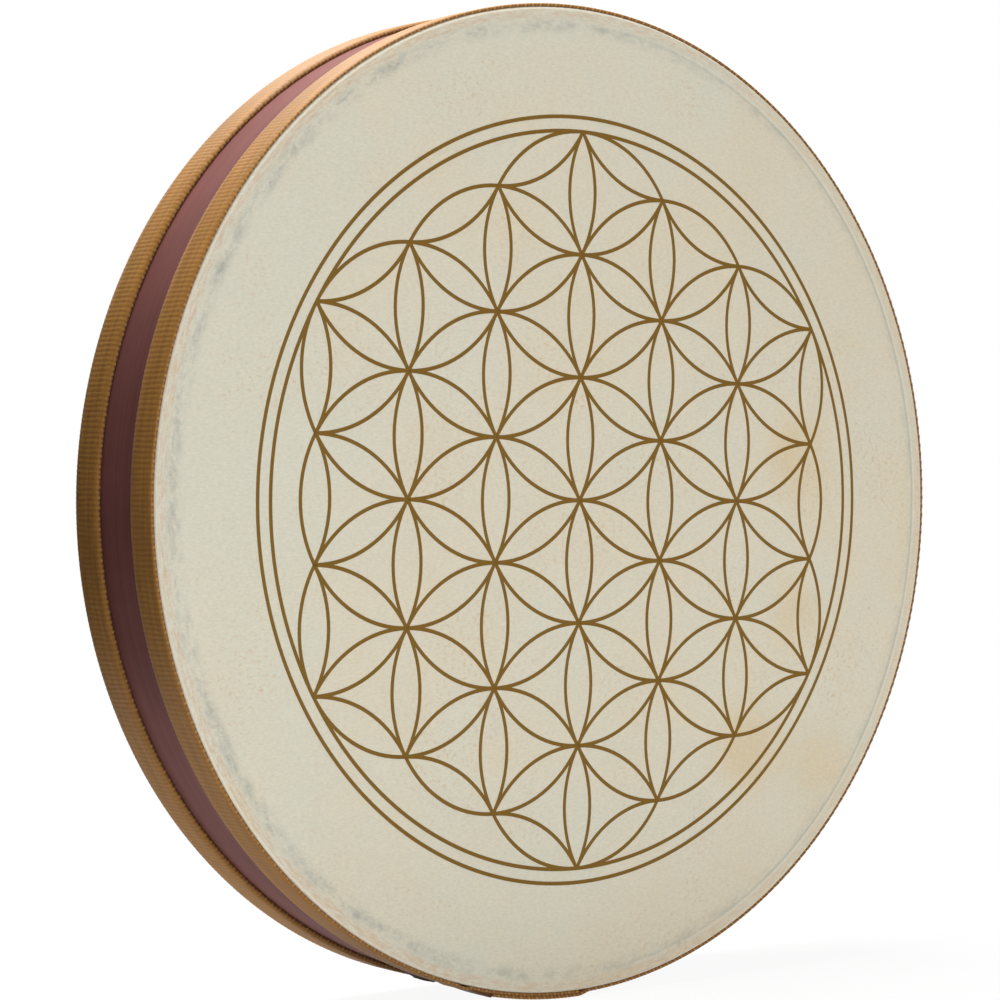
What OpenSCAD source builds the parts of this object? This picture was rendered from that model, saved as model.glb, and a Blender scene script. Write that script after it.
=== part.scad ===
// Ocean drum: a shallow hoop of bent plywood, closed on both sides by goatskin,
// with loose steel shot inside that rolls over the skins.
// The drum stands on its rim on the plane z = 0. Its axis lies along Y,
// and the printed front head looks towards -Y.
// Angles round the rim are seen from the front: 0 on the right, 90 at the top, 270 at the floor.

/* [Shell] */
// Outside diameter of the plywood hoop
shell_d = 498; // [380:1:600]
// Depth of the hoop, from one bearing edge to the other
shell_depth = 70; // [56:1:110]
// Thickness of one of the five plies
ply_t = 1.56; // [1.3:0.02:2.4]
// Gap where the two ends of one bent ply meet
ply_seam = 0.4; // [0.2:0.1:1]
// Rounding of the outer corner of the bearing edges
bearing_r = 1; // [0.6:0.1:1.2]
// Film of glue between any two glued surfaces
glue_line = 0.05; // [0.02:0.01:0.1]

/* [Heads] */
// Thickness of the goatskin
skin_t = 1; // [0.6:0.1:1.4]
// How far the trimmed edge of the skin stops short of the ribbon's edge
skin_trim = 2; // [0.3:0.1:3]

/* [Ribbons] */
// Width of the woven ribbon
ribbon_w = 20; // [12:0.5:22]
// Thickness of the woven ribbon
ribbon_t = 1.6; // [1:0.1:2.4]
// Distance from the front face back to the front ribbon
front_setback = 0.5; // [0.2:0.1:2]
// Distance from the rear face in to the rear ribbon
rear_setback = 1.5; // [0.2:0.1:2]
// Angle where the front ribbon's upper end stops
front_lap_start = 258; // [250:0.5:266]
// Angle where the front ribbon's lower end stops, under the upper one
front_lap_end = 270.7; // [270.3:0.1:275]
// Angle where the rear ribbon's upper end stops
rear_lap_start = 259.5; // [250:0.5:266]
// Angle where the rear ribbon's lower end stops, under the upper one
rear_lap_end = 272.5; // [270.3:0.1:275]
// Length over which the ribbon climbs on to its own lower end
lap_ramp = 8; // [4:0.5:14]
// Length of the stiff tail of glued threads at the front ribbon's upper end
tail_len = 14; // [6:1:20]
// Height of that tail at its cut end
tail_h = 2.4; // [1:0.1:4]

/* [Staples] */
// Number of staples that hold each skin
staple_count = 36; // [18:1:48]
// Length of a staple's crown
staple_crown = 10; // [6:0.5:12]
// Length of a staple's leg
staple_leg = 5; // [4:0.1:6]
// Width of the staple wire
wire_w = 1.2; // [0.8:0.1:1.6]
// Thickness of the staple wire
wire_t = 0.6; // [0.4:0.1:0.8]
// Depth of a staple's crown under the surface of the skin
staple_sink = 0.1; // [0.08:0.01:0.15]

/* [Filling plug] */
// Diameter of the filling hole in the shell
plug_hole_d = 18; // [12:0.5:20]
// Radial clearance of the plug's shank in the hole
plug_fit = 0.1; // [0.05:0.01:0.2]
// Diameter of the plug's domed cap
plug_cap_d = 24; // [22:0.5:26]
// Height of the straight rim of the cap
plug_rim_h = 1; // [0.5:0.1:2]
// Height of the dome above that rim
plug_dome_h = 3.5; // [2:0.1:5]
// Angle of the plug round the rim
plug_angle = 254; // [248:0.5:256]

/* [Steel shot] */
// Diameter of one steel ball
shot_d = 4.5; // [3.5:0.1:5]
// Running gap between balls, and between balls and walls
shot_gap = 0.3; // [0.2:0.05:0.5]
// Balls in the outer layer of each column
outer_balls = 20; // [12:2:24]
// Balls in the inner layer of each column
inner_balls = 11; // [5:2:11]

/* [Hidden] */

// Smoothness of the large rings, of the bores and of the balls
ring_fn = 240;
bore_fn = 64;
ball_fn = 24;

// Overrun of cuts, and of pieces that are fused into one
overrun = 0.2;

// Shell
ply_count = 5;
shell_r = shell_d / 2;
wall_t = ply_count * ply_t + (ply_count - 1) * glue_line;
inner_r = shell_r - wall_t;
edge_z = shell_depth / 2;
// Each ply's seam stands a fifth of a turn on from the one outside it
first_seam = 263;
seam_step = 360 / ply_count;

// Heads
head_r = shell_r + glue_line + skin_t;
face_z = edge_z + glue_line + skin_t;

// Ribbons
ribbon_ri = head_r + glue_line;
ribbon_ro = ribbon_ri + ribbon_t;
lap_ro = ribbon_ro + ribbon_t;
fuse_angle = arc_angle(overrun, ribbon_ri);
front_ribbon_z = face_z - front_setback;
rear_ribbon_z = face_z - rear_setback;

// Height of the drum's axis above the floor, standing on the laps of its ribbons
axis_h = lap_ro;

// Shot
shot_r = shot_d / 2;
shot_pitch = shot_d + shot_gap;
lane_count = 7;
lane_columns = floor((shell_depth - shot_gap) / shot_pitch / lane_count);
column_count = lane_count * lane_columns;
wave_count = 4;
outer_layer_r = inner_r - shot_gap - shot_r;
inner_layer_r = outer_layer_r - shot_pitch * sin(60);
wave_r = inner_layer_r - shot_pitch;
shot_angle = arc_angle(shot_pitch, outer_layer_r);

// Colours, as the drum shows them
maroon = "#6b4342";
bare_ply = "#c9a77c";
hide = "#cdc9b8";
gold_ribbon = "#8b6636";
dark_rubber = "#2b1a17";
steel = "#b9bcc0";

function arc_angle(length, radius) = length / radius * 180 / PI;

function polar(radius, angle) = [radius * cos(angle), radius * sin(angle)];

function column_z(column) = (column - (column_count - 1) / 2) * shot_pitch;

// Raises the drum from its own axes, with the front head up, on to its rim
module stand() {
    translate([0, 0, axis_h])
        rotate([90, 0, 0])
            children();
}

// Turns what is built along +X to an angle round the rim
module at_rim(angle) {
    rotate([0, 0, angle])
        children();
}

// A cylinder along +X, from one radius of the drum to another
module radial_pin(from_r, to_r, radius) {
    translate([from_r, 0, 0])
        rotate([0, 90, 0])
            cylinder(h = to_r - from_r, r = radius, $fn = bore_fn);
}

// Section of a ply. The outer ply has its two outer corners rounded for the skins
module ply_section(outer, corner_r) {
    difference() {
        translate([outer - ply_t, -edge_z])
            square([ply_t, shell_depth]);
        if (corner_r > 0) {
            outer_corner(outer, corner_r);
            mirror([0, 1])
                outer_corner(outer, corner_r);
        }
    }
}

// What is planed off an outer corner of the section
module outer_corner(outer, corner_r) {
    translate([outer - corner_r, edge_z - corner_r])
        difference() {
            square([corner_r + overrun, corner_r + overrun]);
            circle(r = corner_r, $fn = bore_fn);
        }
}

// One bent ply, counted from the outside, with its seam and the filling hole
module ply(index, corner_r) {
    outer = shell_r - index * (ply_t + glue_line);
    difference() {
        rotate_extrude($fn = ring_fn)
            ply_section(outer, corner_r);
        at_rim(first_seam + index * seam_step)
            translate([outer - ply_t - overrun, -ply_seam / 2, -edge_z - overrun])
                cube([ply_t + 2 * overrun, ply_seam, shell_depth + 2 * overrun]);
        at_rim(plug_angle)
            radial_pin(outer - ply_t - plug_hole_d, outer + plug_hole_d, plug_hole_d / 2);
    }
}

module outer_ply() {
    color(maroon)
        stand()
            ply(0, bearing_r);
}

module second_ply() {
    color(bare_ply)
        stand()
            ply(1, 0);
}

module middle_ply() {
    color(bare_ply)
        stand()
            ply(2, 0);
}

module fourth_ply() {
    color(bare_ply)
        stand()
            ply(3, 0);
}

module inner_ply() {
    color(bare_ply)
        stand()
            ply(4, 0);
}

// Section of a head: the flat skin, the bend over the bearing edge and the lip
module head_section(lip_z) {
    bend_r = shell_r - bearing_r;
    bend_z = edge_z - bearing_r;
    inside_r = bearing_r + glue_line;
    outside_r = inside_r + skin_t;
    translate([0, edge_z + glue_line])
        square([bend_r, skin_t]);
    translate([bend_r, bend_z])
        intersection() {
            difference() {
                circle(r = outside_r, $fn = bore_fn);
                circle(r = inside_r, $fn = bore_fn);
            }
            square([outside_r, outside_r]);
        }
    translate([shell_r + glue_line, lip_z])
        square([skin_t, bend_z - lip_z]);
}

// A skin that is drawn over one bearing edge, built on the front side
module head(ribbon_z) {
    rotate_extrude($fn = ring_fn)
        head_section(ribbon_z - ribbon_w + skin_trim);
}

module front_head() {
    color(hide)
        stand()
            head(front_ribbon_z);
}

module rear_head() {
    color(hide)
        stand()
            mirror([0, 0, 1])
                head(rear_ribbon_z);
}

// A slice of the drum's face between two angles, wider than any ribbon
module slice(start, end) {
    reach = lap_ro + ribbon_w;
    polygon([[0, 0], polar(reach, start), polar(reach, end)]);
}

module flat_ring(inside, outside) {
    difference() {
        circle(r = outside, $fn = ring_fn);
        circle(r = inside, $fn = ring_fn);
    }
}

// Outline of a ribbon: once round the rim, then up over its own cut lower end
module ribbon_outline(lap_start, lap_end) {
    foot = lap_end + arc_angle(lap_ramp, ribbon_ri);
    root_r = ribbon_ro - overrun;
    difference() {
        union() {
            flat_ring(ribbon_ri, ribbon_ro);
            intersection() {
                flat_ring(root_r, lap_ro);
                slice(lap_start, lap_end);
            }
            polygon([
                polar(root_r, lap_end - fuse_angle),
                polar(lap_ro - overrun, lap_end - fuse_angle),
                polar(root_r, foot)
            ]);
        }
        polygon([
            polar(ribbon_ri - overrun, lap_end),
            polar(ribbon_ro, lap_end),
            polar(ribbon_ri - overrun, foot)
        ]);
    }
}

// Outline of the stiff tail of glued threads at the front ribbon's upper end
module tail_outline() {
    tail_start = front_lap_start - arc_angle(tail_len, ribbon_ro);
    root_r = ribbon_ro - overrun;
    polygon([
        polar(root_r, tail_start),
        polar(ribbon_ro + tail_h, front_lap_start),
        polar(ribbon_ro + tail_h, front_lap_start + fuse_angle),
        polar(root_r, front_lap_start + fuse_angle)
    ]);
}

module front_ribbon() {
    color(gold_ribbon)
        stand()
            translate([0, 0, front_ribbon_z - ribbon_w])
                linear_extrude(height = ribbon_w) {
                    ribbon_outline(front_lap_start, front_lap_end);
                    tail_outline();
                }
}

module rear_ribbon() {
    color(gold_ribbon)
        stand()
            translate([0, 0, -rear_ribbon_z])
                linear_extrude(height = ribbon_w)
                    ribbon_outline(rear_lap_start, rear_lap_end);
}

// One staple with its crown along the rim, driven in from outside
module staple() {
    crown_r = head_r - staple_sink - wire_t;
    translate([crown_r, -staple_crown / 2, -wire_w / 2])
        cube([wire_t, staple_crown, wire_w]);
    for (side = [-1, 1]) {
        translate([crown_r - staple_leg, side * (staple_crown - wire_t) / 2 - wire_t / 2, -wire_w / 2])
            cube([staple_leg + wire_t, wire_t, wire_w]);
    }
}

// The staples of one skin, midway under its ribbon
module staple_row(row_z) {
    pitch = 360 / staple_count;
    translate([0, 0, row_z])
        for (number = [0 : staple_count - 1]) {
            at_rim((number + 1 / 2) * pitch)
                staple();
        }
}

module front_staples() {
    color(steel)
        stand()
            staple_row(front_ribbon_z - ribbon_w / 2);
}

module rear_staples() {
    color(steel)
        stand()
            staple_row(ribbon_w / 2 - rear_ribbon_z);
}

// Half section of the plug, standing on its axis: the shank and the domed cap
module plug_section() {
    cap_r = plug_cap_d / 2;
    seat_r = shell_r + shot_gap;
    crown_r = seat_r + plug_rim_h + plug_dome_h;
    dome_r = (cap_r * cap_r + plug_dome_h * plug_dome_h) / (2 * plug_dome_h);
    translate([0, inner_r + shot_gap])
        square([plug_hole_d / 2 - plug_fit, seat_r + plug_rim_h - inner_r - shot_gap]);
    intersection() {
        translate([0, crown_r - dome_r])
            circle(r = dome_r, $fn = ring_fn);
        translate([0, seat_r])
            square([cap_r, crown_r - seat_r + overrun]);
    }
}

// Domed plug of the filling hole, seated on the shell between the ribbons
module fill_plug() {
    color(dark_rubber)
        stand()
            at_rim(plug_angle)
                rotate([0, 90, 0])
                    rotate_extrude($fn = bore_fn)
                        plug_section();
}

module ball() {
    sphere(r = shot_r, $fn = ball_fn);
}

// A run of balls along the rim, centred over the floor
module ball_arc(count, radius, z) {
    for (number = [0 : count - 1]) {
        at_rim(270 + (number - (count - 1) / 2) * shot_angle)
            translate([radius, 0, z])
                ball();
    }
}

// Shot that runs round the inside of the shell in one lane, two layers deep
module shot_lane(lane) {
    color(steel)
        stand()
            for (column = [lane_columns * (lane - 1) : lane_columns * lane - 1]) {
                ball_arc(outer_balls, outer_layer_r, column_z(column));
                ball_arc(inner_balls, inner_layer_r, column_z(column));
            }
}

// A row of shot on the crown of the heap that rolls up and down over the skins
module shot_wave(wave) {
    row_x = (wave - (wave_count + 1) / 2) * shot_pitch;
    row_y = -sqrt(wave_r * wave_r - row_x * row_x);
    color(steel)
        stand()
            for (column = [0 : column_count - 1]) {
                translate([row_x, row_y, column_z(column)])
                    ball();
            }
}

outer_ply();
second_ply();
middle_ply();
fourth_ply();
inner_ply();
front_head();
rear_head();
front_ribbon();
rear_ribbon();
front_staples();
rear_staples();
fill_plug();
shot_lane(1);  // shot_lane_1
shot_lane(2);  // shot_lane_2
shot_lane(3);  // shot_lane_3
shot_lane(4);  // shot_lane_4
shot_lane(5);  // shot_lane_5
shot_lane(6);  // shot_lane_6
shot_lane(7);  // shot_lane_7
shot_wave(1);  // shot_wave_1
shot_wave(2);  // shot_wave_2
shot_wave(3);  // shot_wave_3
shot_wave(4);  // shot_wave_4
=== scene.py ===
"""Ocean drum: woven ribbons, stretched skins, printed pattern and plug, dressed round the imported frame.

The drum stands on its rim, with its axis along Y and the printed skin towards -Y.
Pieces are built lying flat, with the drum's axis along Z and the printed skin up, and are then stood up.
Angles round the rim are seen from the front: 0 on the right, 90 at the top, 270 at the floor.
"""

import math

import bpy
from mathutils import Matrix, Vector


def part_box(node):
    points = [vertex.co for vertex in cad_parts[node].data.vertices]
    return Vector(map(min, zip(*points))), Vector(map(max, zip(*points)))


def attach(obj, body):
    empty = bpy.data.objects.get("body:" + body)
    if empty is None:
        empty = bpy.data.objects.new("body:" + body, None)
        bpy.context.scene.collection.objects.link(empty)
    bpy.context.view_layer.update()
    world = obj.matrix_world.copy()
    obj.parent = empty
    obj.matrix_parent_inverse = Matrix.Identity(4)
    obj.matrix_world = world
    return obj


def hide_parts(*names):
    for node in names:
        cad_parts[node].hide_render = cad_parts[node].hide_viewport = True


bl_info = {
    "name": "Ocean Drum",
    "version": (1, 0, 0),
    "blender": (4, 5, 0),
    "location": "3D View > Sidebar > Ocean Drum",
    "description": "Dresses the ocean drum in woven ribbon, goatskin, print and stained birch",
    "category": "Add Mesh",
}

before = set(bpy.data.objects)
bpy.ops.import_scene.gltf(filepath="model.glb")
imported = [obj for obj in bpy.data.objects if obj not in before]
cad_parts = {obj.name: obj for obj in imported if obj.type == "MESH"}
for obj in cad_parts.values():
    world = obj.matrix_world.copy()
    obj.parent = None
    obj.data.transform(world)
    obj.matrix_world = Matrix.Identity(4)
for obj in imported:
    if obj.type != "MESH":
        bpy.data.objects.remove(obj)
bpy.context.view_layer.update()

MM = 0.001
TINY = 1e-6

SIDES = (("front", "Front", "The printed side"), ("rear", "Rear", "The plain side"))

# The drum's own measures, read from the frame
SHELL_LOW, SHELL_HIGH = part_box("outer_ply")
AXIS_HEIGHT = (SHELL_LOW.z + SHELL_HIGH.z) / 2
SHELL_R = SHELL_HIGH.x
SHELL_HALF_DEPTH = SHELL_HIGH.y
SKINS = {"front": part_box("front_head"), "rear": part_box("rear_head")}
RIBBONS = {"front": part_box("front_ribbon"), "rear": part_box("rear_ribbon")}
FACE = -SKINS["front"][0].y
SKIN_R = SKINS["front"][1].x
RIBBON_OUT = RIBBONS["front"][1].x
RIBBON_WIDTH = RIBBONS["front"][1].y - RIBBONS["front"][0].y

GLUE_LINE = 0.05 * MM
SKIN_T = 1.0 * MM
BEARING_R = 1.0 * MM
RIBBON_IN = SKIN_R + GLUE_LINE
RIBBON_T = RIBBON_OUT - RIBBON_IN

# Angles of each ribbon's upper and lower ends, and how long it takes to climb on to its lower end
LAPS = {"front": (258.0, 270.7), "rear": (259.5, 272.5)}
LAP_CLIMB = 8.0 * MM

# Where the front ribbon rides over a proud staple, and how high it stands there
BUMP_ANGLE = 253.7
BUMP_SPAN = 1.3
BUMP_HEIGHT = 0.8 * MM

# The tail of threads at the front ribbon's upper end, painted dark as shade: ridged, frayed, and sunk a little into
# the ribbon
TAIL_LENGTH = 14.0 * MM
TAIL_HEIGHT = 2.4 * MM
TAIL_THIN = 0.35 * MM
TAIL_RIDGE = 0.25 * MM
TAIL_FRAY = 0.3 * MM
TAIL_SUNK = 0.15 * MM
TAIL_THREADS = 10

# The filling plug. The last two are the height of its cap's rim and of the dome above that
PLUG_ANGLE = 254.0
PLUG_CAP_R = 11.0 * MM
PLUG_SHANK_R = 8.9 * MM
PLUG_SEAT = SHELL_R + 0.3 * MM
PLUG_FOOT = SHELL_R - 7.7 * MM
PLUG_RIM = 0.8 * MM
PLUG_DOME = 2.6 * MM


def linear(code):
    """An sRGB hex colour as the linear RGBA that Blender's sockets hold."""
    channels = [int(code[i : i + 2], 16) / 255 for i in (1, 3, 5)]
    return [c / 12.92 if c <= 0.04045 else ((c + 0.055) / 1.055) ** 2.4 for c in channels] + [1.0]


# Sizes and colours that a user would change


class DRUM_PG_ribbon(bpy.types.PropertyGroup):
    # Real ribs are some 2 mm apart. They are drawn a little coarser, so that they show
    rib_pitch: bpy.props.FloatProperty(
        name="Rib pitch",
        description="Distance from one rib of the ribbon to the next",
        default=2.45 * MM, min=1 * MM, max=5 * MM, unit="LENGTH",
    )
    rib_relief: bpy.props.FloatProperty(
        name="Rib relief",
        description="Depth of the grooves between the ribs",
        default=0.12 * MM, min=0, max=1 * MM, unit="LENGTH",
    )
    loop_depth: bpy.props.FloatProperty(
        name="Selvedge loops",
        description="How far the weft's loops stand out along the ribbon's edges",
        default=0.3 * MM, min=0, max=1 * MM, unit="LENGTH",
    )
    wander: bpy.props.FloatProperty(
        name="Wander",
        description="How far the ribs wander from straight lines",
        default=1.2 * MM, min=0, max=3 * MM, unit="LENGTH",
    )
    thread: bpy.props.FloatVectorProperty(
        name="Thread",
        description="Colour of the ribbon's thread",
        default=linear("#9a6d32"), size=4, min=0, max=1, subtype="COLOR",
    )


class DRUM_PG_print(bpy.types.PropertyGroup):
    circle_r: bpy.props.FloatProperty(
        name="Circle radius",
        description="Radius of the pattern's circles, and the distance between their centres",
        default=62.5 * MM, min=20 * MM, max=80 * MM, unit="LENGTH",
    )
    ring_gap: bpy.props.FloatProperty(
        name="Ring gap",
        description="Distance between the two rings round the pattern",
        default=7.2 * MM, min=2 * MM, max=20 * MM, unit="LENGTH",
    )
    line_width: bpy.props.FloatProperty(
        name="Line width",
        description="Width of a printed line",
        default=1.95 * MM, min=0.5 * MM, max=5 * MM, unit="LENGTH",
    )
    ink: bpy.props.FloatVectorProperty(
        name="Ink",
        description="Colour of the ink",
        default=linear("#765822"), size=4, min=0, max=1, subtype="COLOR",
    )


class DRUM_PG_finish(bpy.types.PropertyGroup):
    hide: bpy.props.FloatVectorProperty(
        name="Hide",
        description="Main colour of the goatskin",
        default=linear("#cfcbb9"), size=4, min=0, max=1, subtype="COLOR",
    )
    stain: bpy.props.FloatVectorProperty(
        name="Stain",
        description="Colour of the shell's stain",
        default=linear("#6b413f"), size=4, min=0, max=1, subtype="COLOR",
    )


# Materials

# Sockets of the Map Range node and of the colour Mix node
VALUE, LOW, HIGH, TO_LOW, TO_HIGH = range(5)
FACTOR, UNDER, OVER = 0, 6, 7
COLOUR_MIX = {"output": 2, "data_type": "RGBA"}
WEAVE_MAP = "weave"


def add(tree, kind, inputs=(), output=0, **settings):
    """Adds a node with its settings and its inputs, each a value or a socket, and gives one of its outputs."""
    node = tree.nodes.new(kind)
    for name, value in settings.items():
        setattr(node, name, value)
    for name, value in dict(inputs).items():
        if isinstance(value, bpy.types.NodeSocket):
            tree.links.new(value, node.inputs[name])
        else:
            node.inputs[name].default_value = value
    return node.outputs[output] if node.outputs else node


def new_material(name):
    """An empty material and its node tree."""
    material = bpy.data.materials.new(name)
    material.use_nodes = True
    material.node_tree.nodes.clear()
    return material, material.node_tree


def away_from(tree, value, place):
    """How far a value lies from a place, to either side."""
    beyond = add(tree, "ShaderNodeMath", {0: value, 1: place}, operation="SUBTRACT")
    return add(tree, "ShaderNodeMath", {0: beyond}, operation="ABSOLUTE")


def shaded(tree, colour, noise, darkest, brightest):
    """A colour that is darker where a noise is low and brighter where it is high."""
    shade = add(tree, "ShaderNodeMapRange", {VALUE: noise, LOW: 0.3, HIGH: 0.7, TO_LOW: darkest, TO_HIGH: brightest})
    return add(tree, "ShaderNodeMix", {FACTOR: 1.0, UNDER: colour, OVER: shade}, **COLOUR_MIX, blend_type="MULTIPLY")


# The skin's marks lie on rings, each a distance in from the shell's outer face, and reach some way to both sides
BLOTCHES_IN, BLOTCHES_REACH = 8.3 * MM, 6.0 * MM
WOOD_IN, WOOD_REACH, WOOD_FULL = 2.4 * MM, 3.2 * MM, 1.4 * MM
# Distance in, strength and colour of the crease's crest, painted pale as a highlight, and of its valley, painted grey
# as shade
CREASE_LIGHT_AND_SHADE = ((6.0 * MM, 0.35, "#d9d6cb"), (7.3 * MM, 0.5, "#a5a596"))
CREASE_REACH, CREASE_FULL = 1.2 * MM, 0.3 * MM
# Stains of fat on the printed side: millimetres to the right of the middle, above it, and reach
FAT_STAINS = ((155, 25, 34), (172, -148, 42), (118, -130, 36), (150, -60, 30))


def near_ring(tree, radius, inside, reach, full=0.0, strength=1.0):
    """Full strength on a ring that lies some way inside the shell's face, fading out at its reach to both sides."""
    off_ring = away_from(tree, radius, SHELL_R - inside)
    return add(tree, "ShaderNodeMapRange", {VALUE: off_ring, LOW: reach, HIGH: full, TO_HIGH: strength},
               interpolation_type="SMOOTHSTEP")


def goatskin(name, hide):
    """Scraped goatskin, limed and dried under tension: matt, mottled, and marked where it crosses the hoop, with a
    painted highlight on its bend and painted light and shade on a crease.
    """
    material, tree = new_material(name)
    place = add(tree, "ShaderNodeTexCoord", output="Object")
    centred = add(tree, "ShaderNodeMapping", {"Vector": place, "Location": (0, 0, -AXIS_HEIGHT)})
    flat = add(tree, "ShaderNodeVectorMath", {0: centred, 1: (1, 0, 1)}, operation="MULTIPLY")
    radius = add(tree, "ShaderNodeVectorMath", {0: flat}, "Value", operation="LENGTH")
    # A point on a ring of the rim's size, raised by its own distance from the axis, so that marks follow the rim
    outward = add(tree, "ShaderNodeVectorMath", {0: flat}, operation="NORMALIZE")
    ringed = add(tree, "ShaderNodeVectorMath", {0: outward, "Scale": SHELL_R}, operation="SCALE")
    raised = add(tree, "ShaderNodeCombineXYZ", {"Y": radius})
    rimwise = add(tree, "ShaderNodeVectorMath", {0: ringed, 1: raised}, operation="ADD")

    # Broad clouds of fat and bloom, some 70 mm across, turn the hide from grey to warm cream, more so on the right
    clouds = add(tree, "ShaderNodeTexNoise", {"Vector": place, "Scale": 15, "Detail": 5, "Roughness": 0.6})
    side = add(tree, "ShaderNodeSeparateXYZ", {"Vector": place}, "X")
    lean = add(tree, "ShaderNodeMath", {0: side, 1: 0.5, 2: clouds}, operation="MULTIPLY_ADD")
    warmth = add(tree, "ShaderNodeMapRange", {VALUE: lean, LOW: 0.38, HIGH: 0.66})
    colour = add(tree, "ShaderNodeMix", {FACTOR: warmth, UNDER: hide, OVER: linear("#d2c8b1")}, **COLOUR_MIX)

    # Cool patches, some 40 mm across
    patches = add(tree, "ShaderNodeTexNoise",
                  {"Vector": place, "Scale": 27, "Detail": 4, "Roughness": 0.55, "Distortion": 0.4})
    cool = add(tree, "ShaderNodeMapRange", {VALUE: patches, LOW: 0.5, HIGH: 0.72, TO_HIGH: 0.3})
    colour = add(tree, "ShaderNodeMix", {FACTOR: cool, UNDER: colour, OVER: linear("#cacabb")}, **COLOUR_MIX)

    # Ochre specks of 1 to 3 mm, gathered in loose drifts
    spots = add(tree, "ShaderNodeTexNoise", {"Vector": place, "Scale": 420, "Detail": 3, "Roughness": 0.6})
    speck = add(tree, "ShaderNodeMapRange", {VALUE: spots, LOW: 0.54, HIGH: 0.7, TO_HIGH: 0.7})
    drifts = add(tree, "ShaderNodeTexNoise", {"Vector": place, "Scale": 21, "Detail": 3})
    drift = add(tree, "ShaderNodeMapRange", {VALUE: drifts, LOW: 0.45, HIGH: 0.7})
    share = add(tree, "ShaderNodeMath", {0: speck, 1: drift}, operation="MULTIPLY")
    colour = add(tree, "ShaderNodeMix", {FACTOR: share, UNDER: colour, OVER: linear("#c6a67c")}, **COLOUR_MIX)

    # Warm stains of fat on the right of the printed side
    for right, up, reach in FAT_STAINS:
        away = add(tree, "ShaderNodeVectorMath", {0: centred, 1: (right * MM, -FACE, up * MM)}, "Value",
                   operation="DISTANCE")
        near = add(tree, "ShaderNodeMapRange", {VALUE: away, LOW: reach * MM, HIGH: 0.2 * reach * MM, TO_HIGH: 0.6},
                   interpolation_type="SMOOTHSTEP")
        share = add(tree, "ShaderNodeMath", {0: near, 1: warmth}, operation="MULTIPLY")
        colour = add(tree, "ShaderNodeMix", {FACTOR: share, UNDER: colour, OVER: linear("#ceb993")}, **COLOUR_MIX)

    # Grey blotches of some 7 by 13 mm, on a ring where the skin leaves the hoop's inner edge
    ring = near_ring(tree, radius, BLOTCHES_IN, BLOTCHES_REACH)
    drawn_out = add(tree, "ShaderNodeMapping", {"Vector": rimwise, "Scale": (75, 140, 75)})
    grey_blotches = add(tree, "ShaderNodeTexNoise",
                  {"Vector": drawn_out, "Scale": 1, "Detail": 6, "Roughness": 0.78, "Distortion": 0.3})
    blotch = add(tree, "ShaderNodeMapRange", {VALUE: grey_blotches, LOW: 0.44, HIGH: 0.66, TO_LOW: 0.05, TO_HIGH: 0.85})
    # They fade towards the right of the drum
    fade = add(tree, "ShaderNodeMapRange", {VALUE: side, LOW: -0.1, HIGH: 0.2, TO_LOW: 1, TO_HIGH: 0.4})
    faded = add(tree, "ShaderNodeMath", {0: ring, 1: fade}, operation="MULTIPLY")
    share = add(tree, "ShaderNodeMath", {0: faded, 1: blotch}, operation="MULTIPLY")
    colour = add(tree, "ShaderNodeMix", {FACTOR: share, UNDER: colour, OVER: linear("#9a9c94")}, **COLOUR_MIX)

    # The wood shows warm through the skin over the hoop, in streaks of some 1.4 by 6 mm
    over_wood = near_ring(tree, radius, WOOD_IN, WOOD_REACH, WOOD_FULL)
    drawn_out = add(tree, "ShaderNodeMapping", {"Vector": rimwise, "Scale": (160, 700, 160)})
    flecks = add(tree, "ShaderNodeTexNoise", {"Vector": drawn_out, "Scale": 1, "Detail": 4, "Roughness": 0.65})
    fleck = add(tree, "ShaderNodeMapRange", {VALUE: flecks, LOW: 0.41, HIGH: 0.64, TO_HIGH: 0.7})
    faded = add(tree, "ShaderNodeMath", {0: over_wood, 1: fade}, operation="MULTIPLY")
    share = add(tree, "ShaderNodeMath", {0: faded, 1: fleck}, operation="MULTIPLY")
    colour = add(tree, "ShaderNodeMix", {FACTOR: share, UNDER: colour, OVER: linear("#c5a88a")}, **COLOUR_MIX)

    # On the right a crease runs beside the hoop's inner edge, with a painted highlight on its crest and painted shade
    # in its valley
    on_right = add(tree, "ShaderNodeMapRange", {VALUE: side, LOW: 0, HIGH: 0.15})
    for inside, strength, tint in CREASE_LIGHT_AND_SHADE:
        crease_shading = near_ring(tree, radius, inside, CREASE_REACH, CREASE_FULL, strength)
        share = add(tree, "ShaderNodeMath", {0: crease_shading, 1: on_right}, operation="MULTIPLY")
        colour = add(tree, "ShaderNodeMix", {FACTOR: share, UNDER: colour, OVER: linear(tint)}, **COLOUR_MIX)

    # The skin is painted paler where it bends over the bearing edge, as a highlight
    bend_highlight = add(tree, "ShaderNodeMapRange", {VALUE: radius, LOW: SHELL_R - 0.5 * MM, HIGH: SHELL_R + 0.3 * MM})
    colour = add(tree, "ShaderNodeMix", {FACTOR: bend_highlight, UNDER: colour, OVER: linear("#dad3c1")}, **COLOUR_MIX)

    # The grain layer's ripples, 1 mm high and 2 mm wide, which is coarser than they are, so that they show
    rippled = add(tree, "ShaderNodeMapping", {"Vector": place, "Scale": (420, 420, 1100)})
    grain = add(tree, "ShaderNodeTexNoise",
                {"Vector": rippled, "Scale": 1, "Detail": 2, "Roughness": 0.55, "Distortion": 0.3})
    colour = shaded(tree, colour, grain, 0.93, 1.04)
    relief = add(tree, "ShaderNodeBump", {"Height": grain, "Strength": 0.35, "Distance": 0.15 * MM})
    skin = add(tree, "ShaderNodeBsdfPrincipled",
               {"Base Color": colour, "Roughness": 0.62, "IOR": 1.5, "Specular IOR Level": 0.32, "Normal": relief})
    add(tree, "ShaderNodeOutputMaterial", {"Surface": skin})
    return material


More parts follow.
